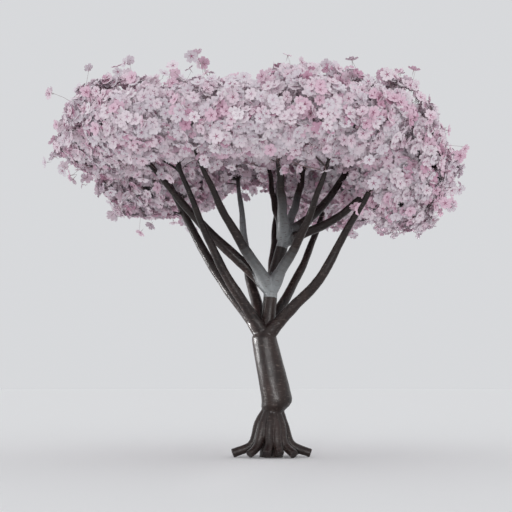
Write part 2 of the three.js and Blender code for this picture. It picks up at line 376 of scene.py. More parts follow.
def growLimb(name, foot, bearing, path, radii, sides, wander=0.0):
    # a ring of bark, extruded along (out, up) stations in an upright plane, then turned to its bearing;
    # wander is how far the limb strays to its sides
    bpy.ops.object.select_all(action="DESELECT")
    tilts = np.arctan2(*np.gradient(path, axis=0).T)
    sideways = wander * np.sin(np.arange(len(path)) * boughShape["wanderTurn"] + bearing)
    start = (path[0][0], sideways[0], path[0][1])
    bpy.ops.mesh.primitive_circle_add(
        vertices=sides, radius=radii[0], location=start, rotation=(0, tilts[0], 0))
    limb = bpy.context.object
    limb.name = name
    bpy.ops.object.mode_set(mode="EDIT")
    bpy.ops.mesh.select_all(action="SELECT")
    for i in range(1, len(path)):
        step = (path[i][0] - path[i - 1][0], sideways[i] - sideways[i - 1], path[i][1] - path[i - 1][1])
        here = (path[i][0], sideways[i], path[i][1])
        bpy.ops.mesh.extrude_region_move(TRANSFORM_OT_translate={"value": step})
        bpy.ops.transform.resize(value=(radii[i] / radii[i - 1],) * 3, center_override=here)
        bpy.ops.transform.rotate(value=tilts[i - 1] - tilts[i], orient_axis="Y", center_override=here)
    closeEnds()
    bpy.ops.object.mode_set(mode="OBJECT")
    bpy.ops.object.transform_apply(location=True, rotation=True, scale=True)
    limb.rotation_euler = (0, 0, math.radians(bearing))
    limb.location = foot
    bpy.ops.object.transform_apply(location=True, rotation=True, scale=True)
    return limb


def growStem(name, heights, radii, sides):
    # level rings from the ground up, each moved over to the stem's line
    bpy.ops.object.select_all(action="DESELECT")
    bpy.ops.mesh.primitive_circle_add(vertices=sides, radius=radii[0], location=stemAt(heights[0]))
    piece = bpy.context.object
    piece.name = name
    bpy.ops.object.mode_set(mode="EDIT")
    bpy.ops.mesh.select_all(action="SELECT")
    for i in range(1, len(heights)):
        here = stemAt(heights[i])
        bpy.ops.mesh.extrude_region_move(TRANSFORM_OT_translate={"value": here - stemAt(heights[i - 1])})
        bpy.ops.transform.resize(value=(radii[i] / radii[i - 1],) * 3, center_override=here)
    closeEnds()
    bpy.ops.object.mode_set(mode="OBJECT")
    bpy.ops.object.transform_apply(location=True, rotation=True, scale=True)
    return piece


def joinPieces(pieces, name):
    bpy.ops.object.select_all(action="DESELECT")
    for piece in pieces:
        piece.select_set(True)
    bpy.context.view_layer.objects.active = pieces[0]
    if len(pieces) > 1:
        bpy.ops.object.join()
    pieces[0].name = name
    return pieces[0]


def applyModifier(piece, kind, **settings):
    modifier = piece.modifiers.new(kind.title(), kind)
    for key, value in settings.items():
        setattr(modifier, key, value)
    bpy.context.view_layer.objects.active = piece
    bpy.ops.object.modifier_apply(modifier=modifier.name)


def raiseRelief(piece, name, size, squash, depth):
    # pushes the surface in and out by a cloud pattern; squash flattens it into the level bands of cherry bark
    bpy.ops.object.empty_add(location=(0, 0, 0))
    ruler = bpy.context.object
    ruler.scale = (1, 1, squash)
    clouds = bpy.data.textures.new(name, "CLOUDS")
    clouds.noise_scale = size
    clouds.noise_depth = 2
    bpy.context.view_layer.update()
    applyModifier(piece, "DISPLACE", texture=clouds, texture_coords="OBJECT", texture_coords_object=ruler,
                  strength=depth, mid_level=0.5)
    bpy.data.objects.remove(ruler)


def triangles(piece):
    return sum(len(face.vertices) - 2 for face in piece.data.polygons)


def thinOut(piece, keep):
    # fewer triangles where the surface is plainest
    share = keep / triangles(piece)
    if share < 1:
        applyModifier(piece, "DECIMATE", ratio=share)


# trunk with its roots, the leader, and a collar where each bough leaves
trunkBark = {
    "voxel": 0.0058,
    "smoothing": 5,
    "keep": 186000,  # triangles
    "relief": [  # name, pattern size, squash, depth
        ("swell", 0.16, 2.0, 0.012), ("bands", 0.05, 0.14, 0.0028), ("grain", 0.016, 0.6, 0.0012),
    ],
    "sides": 40,
    "leaderSides": 24,
    "rings": 34,
    "leaderRings": 22,
}
collars = {
    "swell": [(0.0, 1.16), (0.12, 1.12), (0.24, 0.90)],  # distance along the bough, share of its radius
    "rings": 60,  # along the whole bough
    "sides": 16,
}


def growCore(name, radii, rings, sides):
    # a length of the stem, from the first height to the last one in its table of radii
    heights = np.linspace(radii[0][0], radii[-1][0], rings)
    return growStem(name, heights, [readOff(radii, height)[0] for height in heights], sides)


def growRoot(bearing, reach, leaves):
    outward = onBearing(bearing)
    side = np.array([-outward[1], outward[0]])
    middle = (leaves + roots["kneeHeight"]) / 2
    # the stem's own lean is followed in the root's plane
    lean = [float(np.dot(stemAt(height)[:2], outward)) for height in (leaves, middle)]
    path, gone = smoothPath(
        [
            (roots["topOut"] + lean[0], leaves),
            ((roots["topOut"] + roots["kneeOut"]) / 2 + lean[1], middle + roots["bulge"]),
            (roots["kneeOut"], roots["kneeHeight"]),
            (reach, roots["toe"] - roots["toeSink"]),
        ],
        roots["rings"],
    )
    along = gone / gone[-1]
    radii = np.interp(along, [0, 0.7, 1], [roots["top"], roots["knee"], roots["toe"]])
    swell, waves = roots["swell"]
    radii = radii * (1 + swell * np.sin(along * waves + bearing))
    offset = float(np.dot(stemAt(leaves)[:2], side)) * roots["followStem"]
    foot = (*(side * offset), 0)
    return growLimb(f"root{bearing}", foot, bearing, path, radii, roots["sides"], roots["wander"])


def growCollar(name):
    # the trunk's own wood that reaches round the foot of a bough
    height, bearing, stops, base, end = boughs[name][:5]
    path, gone = smoothPath([(0, 0), *stops], collars["rings"])
    keep = gone < collars["swell"][-1][0]
    radii = boughRadius(base, end, gone, gone[-1])[keep] * readOff(collars["swell"], gone[keep])[0]
    return growLimb(name + "Collar", stemAt(height), bearing, path[keep], radii, collars["sides"])


def finishBark(piece, look):
    # one skin over all the limbs in a piece
    applyModifier(piece, "REMESH", mode="VOXEL", voxel_size=look["voxel"])
    applyModifier(piece, "SMOOTH", factor=0.5, iterations=look["smoothing"])
    for name, size, squash, depth in look["relief"]:
        raiseRelief(piece, name, size, squash, depth)


wood = [
    growCore("trunkCore", stem["trunkRadii"], trunkBark["rings"], trunkBark["sides"]),
    growCore("leaderCore", stem["leaderRadii"], trunkBark["leaderRings"], trunkBark["leaderSides"]),
]
for bearing, (reach, leaves) in roots["each"].items():
    wood.append(growRoot(bearing, reach, leaves))
for name in boughs:
    wood.append(growCollar(name))
trunk = joinPieces(wood, "trunk_bark")
finishBark(trunk, trunkBark)
bpy.ops.object.mode_set(mode="EDIT")
bpy.ops.mesh.select_all(action="SELECT")
bpy.ops.mesh.bisect(plane_co=(0, 0, 0), plane_no=(0, 0, 1), use_fill=True, clear_inner=True)
bpy.ops.object.mode_set(mode="OBJECT")
thinOut(trunk, trunkBark["keep"])
print("trunk and roots:", triangles(trunk), "triangles")

# boughs, to their ends inside the crown
boughBark = {
    "voxel": 0.0078,
    "smoothing": 3,
    "keep": 186000,
    "relief": [("boughSwell", 0.11, 2.0, 0.008), ("boughBands", 0.045, 0.3, 0.0025)],
    "shrink": 0.985,  # leaves room for the relief
    "swell": (0.025, 21),  # of the radius, and how quickly it comes and goes
    "wander": 0.005,
    "sides": 20,
    "rings": 26,
}
forkShape = {
    "bend": (0.45, 0.55),  # shares of the way out and up at its middle stop
    "taper": (1.25, 0.70),  # shares of its radius at its foot and at its end
    "wander": 0.004,
    "sides": 12,
    "rings": 6,
}


def pointOn(line, gone, distance):
    # the place on a line that lies a distance along it
    return np.array([np.interp(distance, gone, column) for column in line.T])


def growFork(name, foot, way, radius):
    x, y, z = way
    out = math.hypot(x, y)
    outShare, upShare = forkShape["bend"]
    path = smoothPath([(0, 0), (out * outShare, z * upShare), (out, z)], forkShape["rings"])[0]
    thick, thin = (radius * share for share in forkShape["taper"])
    radii = np.linspace(thick, thin, len(path))
    bearing = math.degrees(math.atan2(y, x))
    return growLimb(name + "Fork", foot, bearing, path, radii, forkShape["sides"], forkShape["wander"])


limbs = []
boughLines = {}  # for each bough: its middle line, the distance along it, and its radii
for name in boughs:
    height, bearing, stops, base, end = boughs[name][:5]
    path, gone = smoothPath([(0, 0), *stops], boughBark["rings"])
    swell, waves = boughBark["swell"]
    radii = boughRadius(base, end, gone, gone[-1]) * boughBark["shrink"]
    radii = radii * (1 + swell * np.sin(gone * waves + bearing))
    limbs.append(growLimb(
        name + "Limb", stemAt(height), bearing, path, radii, boughBark["sides"], boughBark["wander"]))
    line = stemAt(height) + np.column_stack([path[:, :1] * onBearing(bearing), path[:, 1]])
    boughLines[name] = (line, gone, radii)
for name, (share, ways, radius) in forks.items():
    line, gone = boughLines[name][:2]
    foot = pointOn(line, gone, share * gone[-1])
    for way in ways:
        limbs.append(growFork(name, foot, way, radius))
boughPiece = joinPieces(limbs, "bough_bark")
finishBark(boughPiece, boughBark)
thinOut(boughPiece, boughBark["keep"])
print("boughs:", triangles(boughPiece), "triangles")

# the silver at the bough feet is young bark and a painted reflection
silverAndReflectionBark = {
    "strength": 0.95,
    "fadePower": 0.8,
    "reach": (1.35, 0.01),  # of the bough's radius, and metres more, that counts as its own bark
    "margin": 0.1,  # beyond the fade, within which bark is looked at
}


def markSilverAndReflection(piece):
    # smooth silvery bark at the foot of the younger boughs, lightened also as a painted reflection
    places = np.empty(len(piece.data.vertices) * 3)
    piece.data.vertices.foreach_get("co", places)
    places = places.reshape(-1, 3)
    value = np.zeros(len(places))
    for name, (line, gone, radii) in boughLines.items():
        middle, fade = boughs[name][5]
        if not fade:
            continue
        near = np.linalg.norm(places - pointOn(line, gone, middle), axis=1) < fade + silverAndReflectionBark["margin"]
        away = np.linalg.norm(places[near, None] - line[None], axis=2)
        best = away.argmin(axis=1)
        share, more = silverAndReflectionBark["reach"]
        onLimb = away.min(axis=1) < radii[best] * share + more
        along = np.clip(1 - np.abs(gone[best] - middle) / fade, 0, 1) ** silverAndReflectionBark["fadePower"]
        value[near] = np.maximum(value[near], along * onLimb)
    layer = piece.data.attributes.new("silverAndReflection", "FLOAT", "POINT")
    layer.data.foreach_set("value", value * silverAndReflectionBark["strength"])


for piece, material in ((trunk, trunkMaterial), (boughPiece, boughMaterial)):
    markSilverAndReflection(piece)
    piece.data.materials.clear()
    piece.data.materials.append(material)
    piece.data.polygons.foreach_set("use_smooth", [True] * len(piece.data.polygons))
    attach(piece, "root")
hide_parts("trunk", "leader")
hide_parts(*boughs)

# ---- where the blossom goes

crown = {
    "spacing": 0.109,  # between the hearts of neighbouring sprays on the crown's surface
    "tries": 16,  # places tried for each that the spacing leaves room for
    "lookBack": 900,  # the latest hearts, against which the spacing of a new one is measured
    "inset": (0.045, 0.100),  # how deep under the mass's surface a spray's heart lies
    "settle": 0.100,  # how far the top sinks in
    "sag": 0.085,  # how far the blossom hangs below the masses at the sides
    "sagOut": 1.4,  # how far out it does so fully
    "buried": 0.02,  # deeper than this in another mass, the surface bears nothing
    "slim": 0.22,  # where a mass is thinner than this, it bears few sprays, of a flower or two
    "slimShare": 0.40,
    "creaseFloor": 2.95,  # only creases above this height are filled
    "creaseTries": 3,  # places tried for each that the spacing leaves room for
    "creaseMargin": 0.1,  # how far round a mass they are tried
    "creaseGap": 0.17,  # sprays fill the creases between two masses this close
    "creaseClear": 0.02,  # how far outside its mass a crease starts
    "creaseSpacing": 1.2,  # times the spacing on the surface
    "innerSpacing": 0.165,
    "innerTries": 5,
    "innerDepth": 0.17,
}
petalReach = 0.078  # how far a flower's petals stand out from its middle

# petals stand out of the frame's box by at most 3% of each side and 10 mm, so a flower's middle stays in this
# room
boxLow, boxHigh = np.array(cadBox[0]), np.array(cadBox[1])
allowance = 0.03 * (boxHigh - boxLow) + 0.01 - petalReach
roomLow, roomHigh = boxLow - allowance, boxHigh + allowance


def corners(name):
    # the three corners of each of a node's triangles
    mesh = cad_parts[name].data
    places = np.empty(len(mesh.vertices) * 3)
    mesh.vertices.foreach_get("co", places)
    mesh.calc_loop_triangles()
    index = np.empty(len(mesh.loop_triangles) * 3, int)
    mesh.loop_triangles.foreach_get("vertices", index)
    return places.reshape(-1, 3)[index].reshape(-1, 3, 3)


def searchTree(faces):
    index = np.arange(len(faces) * 3).reshape(-1, 3)
    return BVHTree.FromPolygons(faces.reshape(-1, 3).tolist(), index.tolist())


masses = {name: corners(name) for name in massNames}
walls = {name: searchTree(faces) for name, faces in masses.items()}
others = {name: [other for other in massNames if other != name] for name in massNames}
anyWay = Vector((0.13, 0.21, 0.97))  # a slanted way to look out of a mass, along none of its faces


def depthIn(name, place):
    # how deep a place lies in a mass; less than nothing outside it
    hit, normal = walls[name].ray_cast(Vector(place), anyWay)[:2]
    inside = hit is not None and normal.dot(anyWay) > 0
    away = walls[name].find_nearest(Vector(place))[3]
    return away if inside else -away


# the heart of each spray, the way it faces, the mass it belongs to, whether it is on the crown's surface,
# and whether its mass is slim there
hearts, outwards, owners, outer, lone = [], [], [], [], []
up = np.array([0, 0, 1.0])


def addHeart(heart, outward, owner, onSurface=True, isLone=False):
    hearts.append(heart)
    outwards.append(outward)
    owners.append(owner)
    outer.append(onSurface)
    lone.append(isLone)


def crowded(spot, places, spacing):
    return bool(places) and ((np.array(places) - spot) ** 2).sum(1).min() < spacing**2


def scatterOnSurface(name, faces):
    # evenly over what shows of a mass, a little under its surface
    normals = np.cross(faces[:, 1] - faces[:, 0], faces[:, 2] - faces[:, 0])
    areas = np.linalg.norm(normals, axis=1) / 2
    normals = normals / np.maximum(areas[:, None] * 2, 1e-12)
    count = int(areas.sum() / crown["spacing"] ** 2 * crown["tries"])
    pick = chance.choice(len(faces), count, p=areas / areas.sum())
    u, v = chance.random(count), chance.random(count)
    flip = u + v > 1
    u[flip], v[flip] = 1 - u[flip], 1 - v[flip]
    first, second, third = faces[pick, 0], faces[pick, 1], faces[pick, 2]
    spots = first + u[:, None] * (second - first) + v[:, None] * (third - first)
    depths = chance.uniform(*crown["inset"], count)
    for spot, normal, depth in zip(spots, normals[pick], depths):
        drop = crown["settle"] if normal[2] > 0 else crown["sag"] * min(1, abs(spot[0]) / crown["sagOut"])
        heart = spot - normal * depth - up * abs(normal[2]) * drop
        if crowded(heart, hearts[-crown["lookBack"] :], crown["spacing"]):
            continue
        if any(depthIn(other, spot) > crown["buried"] for other in others[name]):
            continue
        under = Vector(spot - normal * 0.002)  # just inside the skin
        thickness = walls[name].ray_cast(under, Vector(-normal))[3]
        slim = thickness is not None and thickness < crown["slim"]
        if slim and chance.random() > crown["slimShare"]:
            continue
        addHeart(heart, normal, name, isLone=slim)


def fillCreases(name, faces):
    # between this mass and a near one, outside them all
    low = faces.reshape(-1, 3).min(0) - crown["creaseMargin"]
    high = faces.reshape(-1, 3).max(0) + crown["creaseMargin"]
    low[2] = max(low[2], crown["creaseFloor"])
    tries = int(np.prod(high - low) / crown["spacing"] ** 3 * crown["creaseTries"])
    for spot in chance.uniform(low, high, (tries, 3)):
        if not -crown["creaseGap"] < depthIn(name, spot) < -crown["creaseClear"]:
            continue
        depths = [depthIn(other, spot) for other in others[name]]
        near = [name] + [other for other, depth in zip(others[name], depths) if depth > -crown["creaseGap"]]
        if len(near) < 2 or max(depths) > 0:
            continue
        if crowded(spot, hearts, crown["spacing"] * crown["creaseSpacing"]):
            continue
        way = sum(np.array(walls[other].find_nearest(Vector(spot))[1]) for other in near)
        length = np.linalg.norm(way)
        addHeart(spot, way / length if length > 0.3 else up, name)


def scatterInside(name, faces, shell):
    # thinly through the inside of a mass; shell is how many hearts the surface has
    low, high = faces.reshape(-1, 3).min(0), faces.reshape(-1, 3).max(0)
    tries = int(np.prod(high - low) / crown["innerSpacing"] ** 3 * crown["innerTries"])
    for spot in chance.uniform(low, high, (tries, 3)):
        deep = depthIn(name, spot) >= crown["innerDepth"]
        if deep and not crowded(spot, hearts[shell:], crown["innerSpacing"]):
            addHeart(spot, up, name, onSurface=False)


for name, faces in masses.items():
    scatterOnSurface(name, faces)
for name, faces in masses.items():
    fillCreases(name, faces)
shell = len(hearts)
for name, faces in masses.items():
    scatterInside(name, faces, shell)
hearts, outwards, outer = np.array(hearts), np.array(outwards), np.array(outer)
print("sprays:", int(outer.sum()), "on the surface,", int((~outer).sum()), "inside")

# ---- twigs: each step goes towards the hearts that are nearest to it

growth = {
    "from": 0.42,  # the share of a bough that bears no twigs
    "step": 0.055,
    "rounds": 160,  # at most
    "reach": 0.50,  # how far off a heart is felt
    "widen": 1.5,  # how much further, once none is left in reach
    "arrive": 0.075,
    "momentum": 0.55,  # how much of its last direction a twig keeps
    "waver": 0.08,
    "tooClose": 0.35,  # of a step, between two shoots from one place
    "easing": 2,  # rounds of taking the kinks out
    "tip": 0.0019,  # radius
    "thickening": 2.45,  # the power whose sum carries on where twigs meet
    "onBough": 0.62,  # the most of a bough's radius that a twig on it has
    "stout": 0.006,  # radius from which a twig counts as stout
}


def growTwigs():
    places, parents, fixed = [], [], []
    for name, (line, gone, radii) in boughLines.items():
        last = -1
        stops = np.arange(gone[-1] * growth["from"], gone[-1], growth["step"])
        for stop in [*stops, gone[-1]]:
            places.append(pointOn(line, gone, stop))
            parents.append(last)
            fixed.append(float(np.interp(stop, gone, radii)))
            last = len(places) - 1
    away = np.linalg.norm(hearts[:, None] - np.array(places)[None], axis=2)
    nearest, nearestAway = away.argmin(1), away.min(1)
    reached = nearestAway < growth["arrive"]
    reach = growth["reach"]
    children = {}
    for turn in range(growth["rounds"]):
        wanting = np.flatnonzero(~reached & (nearestAway < reach))
        if not len(wanting):
            if reached.all():
                break
            reach = reach * growth["widen"]
            continue
        grown = []
        for node in np.unique(nearest[wanting]):
            calls = hearts[wanting[nearest[wanting] == node]] - places[node]
            pull = (calls / np.linalg.norm(calls, axis=1)[:, None]).mean(0)
            if parents[node] >= 0 and node not in children:
                way = places[node] - places[parents[node]]
                pull = pull + growth["momentum"] * way / np.linalg.norm(way)
            pull = pull + chance.normal(0, growth["waver"], 3)
            spot = places[node] + growth["step"] * pull / np.linalg.norm(pull)
            gaps = [np.linalg.norm(spot - places[child]) for child in children.get(node, ())]
            if gaps and min(gaps) < growth["step"] * growth["tooClose"]:
                # going round in circles: the nearest heart is as good as reached
                own = wanting[nearest[wanting] == node]
                reached[own[nearestAway[own].argmin()]] = True
                continue
            children.setdefault(node, []).append(len(places))
            grown.append(len(places))
            places.append(spot)
            parents.append(int(node))
            fixed.append(0.0)
        if grown:
            away = np.linalg.norm(hearts[:, None] - np.array(places)[None, grown], axis=2)
            closer = away.min(1) < nearestAway
            nearest[closer] = np.array(grown)[away.argmin(1)][closer]
            nearestAway = np.minimum(nearestAway, away.min(1))
            reached = reached | (nearestAway < growth["arrive"])
    return np.array(places), np.array(parents), np.array(fixed), nearest


nodePlaces, nodeParents, nodeFixed, heartNodes = growTwigs()
nodeChildren = [[] for _ in nodePlaces]
for node, parent in enumerate(nodeParents):
    if parent >= 0:
        nodeChildren[parent].append(node)
for turn in range(growth["easing"]):
    eased = nodePlaces.copy()
    for node, parent in enumerate(nodeParents):
        if nodeFixed[node] == 0 and nodeChildren[node]:
            eased[node] = (2 * nodePlaces[node] + nodePlaces[parent] + nodePlaces[nodeChildren[node][0]]) / 4
    nodePlaces = eased
sums = np.bincount(heartNodes, minlength=len(nodePlaces)) * growth["tip"] ** growth["thickening"]
for node in range(len(nodePlaces) - 1, -1, -1):
    sums[node] = max(sums[node], growth["tip"] ** growth["thickening"])
    if nodeParents[node] >= 0:
        sums[nodeParents[node]] += sums[node]
nodeRadii = sums ** (1 / growth["thickening"])
for node, parent in enumerate(nodeParents):  # never thicker than the wood it comes from
    if nodeFixed[node] == 0:
        limit = nodeFixed[parent] * growth["onBough"] if nodeFixed[parent] else nodeRadii[parent]
        nodeRadii[node] = min(nodeRadii[node], limit)
print("twig steps:", len(nodePlaces), "thickest:", round(float(nodeRadii[nodeFixed == 0].max()), 4))


def twigRuns():
    # each run starts on the wood that bears it and follows its thickest shoot to the tip
    runs = []
    for node, parent in enumerate(nodeParents):
        if nodeFixed[node]:
            continue
        siblings = [child for child in nodeChildren[parent] if not nodeFixed[child]]
        main = max(siblings, key=lambda child: nodeRadii[child])
        if not nodeFixed[parent] and node == main:
            continue
        run, radii = [nodePlaces[parent]], [nodeRadii[node]]
        while True:
            run.append(nodePlaces[node])
            radii.append(nodeRadii[node])
            following = nodeChildren[node]
            if not following:
                break
            node = max(following, key=lambda child: nodeRadii[child])
        runs.append((run, radii))
    return runs


def tubeMesh(name, runs, roundness):
    # one curve of many runs, bevelled round and made a mesh
    bpy.ops.object.select_all(action="DESELECT")
    curve = bpy.data.curves.new(name, "CURVE")
    curve.dimensions = "3D"
    curve.bevel_depth = 1
    curve.bevel_resolution = roundness
    curve.use_fill_caps = True
    for run, radii in runs:
        spline = curve.splines.new("POLY")
        spline.points.add(len(run) - 1)
        spline.points.foreach_set("co", np.column_stack([np.array(run), np.ones(len(run))]).ravel())
        spline.points.foreach_set("radius", np.array(radii))
    piece = bpy.data.objects.new(name, curve)
    bpy.context.collection.objects.link(piece)
    piece.select_set(True)
    bpy.context.view_layer.objects.active = piece
    bpy.ops.object.convert(target="MESH")
    return bpy.context.object


spurRadii = [growth["tip"], growth["tip"] * 0.8, growth["tip"] * 0.6]
spurShape = {  # the last short shoots, one to each spray
    "waver": 0.008,
    "past": 0.015,  # how far it goes on past the heart of its spray
}
wandShape = {  # lone shoots that stand out from the crown
    "count": 520,
    "reach": (0.09, 0.33),
    "shortShare": 1.4,  # the higher, the more of them are short
    "stray": 0.45,  # how far its way strays from straight out
    "waver": 0.012,
    "overRoom": 0.02,  # how far its end may pass the room of the flowers
    "lowest": 2.18,  # no end is lower
}


def growSpur(heart, node, normal):
    # from the twig to the heart of its spray
    start = nodePlaces[node]
    middle = (start + heart) / 2 + chance.normal(0, spurShape["waver"], 3)
    return [start, middle, heart + normal * spurShape["past"]], spurRadii


def growWands():
    # where each lone shoot ends, the way it points and the mass it belongs to, and their runs
    tips, shoots = [], []
    shortest, longest = wandShape["reach"]
    low, high = roomLow - wandShape["overRoom"], roomHigh + wandShape["overRoom"]
    for index in chance.choice(np.flatnonzero(outer), wandShape["count"], replace=False):
        way = outwards[index] + chance.normal(0, wandShape["stray"], 3)
        way = way / np.linalg.norm(way)
        reach = shortest + (longest - shortest) * chance.random() ** wandShape["shortShare"]
        tip = hearts[index] + way * reach
        if (tip < low).any() or (tip > high).any() or tip[2] < wandShape["lowest"]:
            continue
        tips.append((tip, way, owners[index]))
        bend = (hearts[index] + tip) / 2 + chance.normal(0, wandShape["waver"], 3)
        shoots.append(([hearts[index], bend, tip], spurRadii))
    return tips, shoots


runs = twigRuns()
spurs = [growSpur(*row) for row in zip(hearts, heartNodes, outwards)]
wands, wandRuns = growWands()
print("wands:", len(wands))
stout = [run for run in runs if run[1][0] > growth["stout"]]
fine = [run for run in runs if run[1][0] <= growth["stout"]] + spurs + wandRuns
twigPieces = [tubeMesh("stoutTwigs", stout, 1), tubeMesh("fineTwigs", fine, 0)]
for piece, material in zip(twigPieces, (twigMaterial, shootMaterial)):
    piece.data.materials.clear()
    piece.data.materials.append(material)
twigs = joinPieces(twigPieces, "twigs")
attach(twigs, "root")
print("twigs:", triangles(twigs), "triangles in", len(stout) + len(fine), "runs")

# ---- one flower, then all of them

petalTurn = 72  # degrees from one petal to the next
flower = {  # for a flower one unit across; corners are degrees off a petal's middle: how far out, how high
    "corners": {36: (0.33, 0.020), 24: (0.455, 0.075), 12: (0.50, 0.105), 0: (0.450, 0.090)},
    "around": 30,
    "plainCorners": {36: (0.33, 0.020), 12: (0.50, 0.100)},  # the flowers behind
    "plainAround": 15,
    "plainTurn": 12,  # degrees
    "rayLength": 0.28,
    "rayWidth": 0.065,
    "rayHeight": 0.012,  # above the petals
    "stalkLength": 0.55,
    "stalkWidth": 0.035,
}

# kind 0 is the full flower and 1 the plain one; low is how far round the back of a spray its flowers go;
# flatness is how much of its depth it keeps; facing has the shares of the spray's own round, of outward,
# of away from the trunk, and of chance
sprays = {
    "front": {"kind": 0, "count": (8, 10), "size": (0.098, 0.138), "radius": (0.050, 0.100),
              "low": -0.1, "flatness": 0.75, "facing": (0.55, 0.35, 0.45, 0.42)},
    "back": {"kind": 1, "count": (5, 7), "size": (0.105, 0.145), "radius": (0.020, 0.090),
             "low": -0.1, "flatness": 0.15, "facing": (0.15, 1.00, 0.25, 0.28)},
    "inner": {"kind": 1, "count": (6, 9), "size": (0.105, 0.145), "radius": (0.040, 0.130),
              "low": -1.0, "flatness": 1.00, "facing": (0.60, 0.00, 0.60, 0.40)},
    "lone": {"kind": 0, "count": (1, 3), "size": (0.098, 0.138), "radius": (0.050, 0.100),
             "low": -0.35, "flatness": 1.00, "facing": (0.60, 0.30, 0.30, 0.30)},
    "wand": {"kind": 0, "count": (1, 3), "size": (0.098, 0.138), "radius": (0.020, 0.045),
             "low": 0.0, "flatness": 1.00, "facing": (0.60, 0.30, 0.30, 0.30)},
}

petalShades = {
    "petalPalest": (0.985, 0.952, 0.970),
    "petalPale": (0.965, 0.912, 0.940),
    "petalGrey": (0.930, 0.892, 0.920),
    "petalBlush": (0.955, 0.875, 0.915),
    "petalPink": (0.935, 0.805, 0.868),
    "petalRose": (0.860, 0.680, 0.765),
}
sprayTints = [  # how often a spray has each tint, and the shades that its flowers take, the first one most
    (0.30, ("petalPale", "petalGrey", "petalPale")),
    (0.30, ("petalGrey", "petalPale", "petalBlush")),
    (0.05, ("petalPalest", "petalPale", "petalGrey")),
    (0.21, ("petalBlush", "petalGrey", "petalPink")),
    (0.14, ("petalPink", "petalBlush", "petalPale")),
]
# painted light: the flowers behind and inside take only the lightest shades, which lifts the shade between the
# sprays
paintedLightShades = ("petalPalest", "petalPale", "petalPalest")
wandShades = ("petalGrey", "petalPale", "petalBlush", "petalPink")
shadeShares = (0.5, 0.3, 0.2)
roseShare = 0.045  # single deeper flowers, whatever their spray
roseRayShare = 0.3  # of the pale flowers
otherColours = {
    "raySoft": (0.800, 0.640, 0.720),
    "rayRose": (0.690, 0.440, 0.550),
    "stalkBrown": (0.700, 0.580, 0.590),
}
petalFinish = {"Roughness": 0.6, "Sheen Weight": 0.25, "Sheen Roughness": 0.5}
blossomMaterials = [newMaterial(name, colour, **petalFinish) for name, colour in petalShades.items()]
blossomMaterials += [newMaterial(name, colour, Roughness=0.6) for name, colour in otherColours.items()]
slotIndex = {name: index for index, name in enumerate([*petalShades, *otherColours])}


def offPetal(corner):
    # degrees between a corner and the middle of the nearest petal; one petal points along +Y
    angle = math.degrees(math.atan2(corner.co.y, corner.co.x)) - 90
    return abs((angle + petalTurn / 2) % petalTurn - petalTurn / 2)


def modelPetals(around, turn, corners):
    # a fan of corners, drawn in between the petals, notched at their tips and cupped
    rim = 0.5
    bpy.ops.object.select_all(action="DESELECT")
    bpy.ops.mesh.primitive_circle_add(
        vertices=around, radius=rim, fill_type="TRIFAN", rotation=(0, 0, math.radians(turn)))
    petals = bpy.context.object
    bpy.ops.object.transform_apply(location=False, rotation=True, scale=False)
    for angle, (radius, lift) in corners.items():
        bpy.ops.object.mode_set(mode="EDIT")
        bpy.ops.mesh.select_all(action="DESELECT")
        bpy.ops.object.mode_set(mode="OBJECT")
        for corner in petals.data.vertices:
            corner.select = corner.co.xy.length > rim / 5 and abs(offPetal(corner) - angle) < 3
        bpy.ops.object.mode_set(mode="EDIT")
        bpy.ops.transform.resize(value=(radius / rim, radius / rim, 1), center_override=(0, 0, 0))
        bpy.ops.transform.translate(value=(0, 0, lift))
    bpy.ops.object.mode_set(mode="OBJECT")
    return petals


def modelRays():
    # five slim darker marks that run out from the throat along the petals
    rays = []
    slope = math.atan2(flower["corners"][0][1], flower["corners"][0][0])
    for k in range(5):
        bpy.ops.object.select_all(action="DESELECT")
        bpy.ops.mesh.primitive_circle_add(vertices=3, radius=1, fill_type="NGON", location=(0, 0.5, 0))
        ray = bpy.context.object
        bpy.ops.object.transform_apply(location=True, rotation=False, scale=False)
        ray.scale = (flower["rayWidth"] / math.sqrt(3), flower["rayLength"] / 1.5, 1)
        ray.rotation_euler = (slope, 0, math.radians(petalTurn * k))
        ray.location = (0, 0, flower["rayHeight"])
        bpy.ops.object.transform_apply(location=True, rotation=True, scale=True)
        rays.append(ray)
    return joinPieces(rays, "rays")


def modelStalk():
    bpy.ops.object.select_all(action="DESELECT")
    length = flower["stalkLength"]
    bpy.ops.mesh.primitive_cone_add(
        vertices=3, radius1=0, radius2=flower["stalkWidth"], depth=length, end_fill_type="NOTHING",
        location=(0, 0, -length / 2))
    stalk = bpy.context.object
    bpy.ops.object.transform_apply(location=True, rotation=False, scale=False)
    return stalk


def takeArrays(piece):
    places = np.empty(len(piece.data.vertices) * 3)
    piece.data.vertices.foreach_get("co", places)
    piece.data.calc_loop_triangles()
    faces = np.empty(len(piece.data.loop_triangles) * 3, int)
    piece.data.loop_triangles.foreach_get("vertices", faces)
    bpy.data.objects.remove(piece)
    return places.reshape(-1, 3), faces.reshape(-1, 3)


def gatherFlower(pieces):
    # corners, faces and part numbers of the pieces together; part 0 is petals, 1 rays and 2 the stalk
    allPlaces, allFaces, parts = [], [], []
    for part, piece in pieces:
        places, faces = takeArrays(piece)
        first, second, third = places[faces[0]]
        if part < 2 and np.cross(second - first, third - first)[2] < 0:
            faces = faces[:, ::-1]
        allFaces.append(faces + sum(len(rows) for rows in allPlaces))
        allPlaces.append(places)
        parts.append(np.full(len(faces), part))
    return tuple(np.concatenate(rows) for rows in (allPlaces, allFaces, parts))


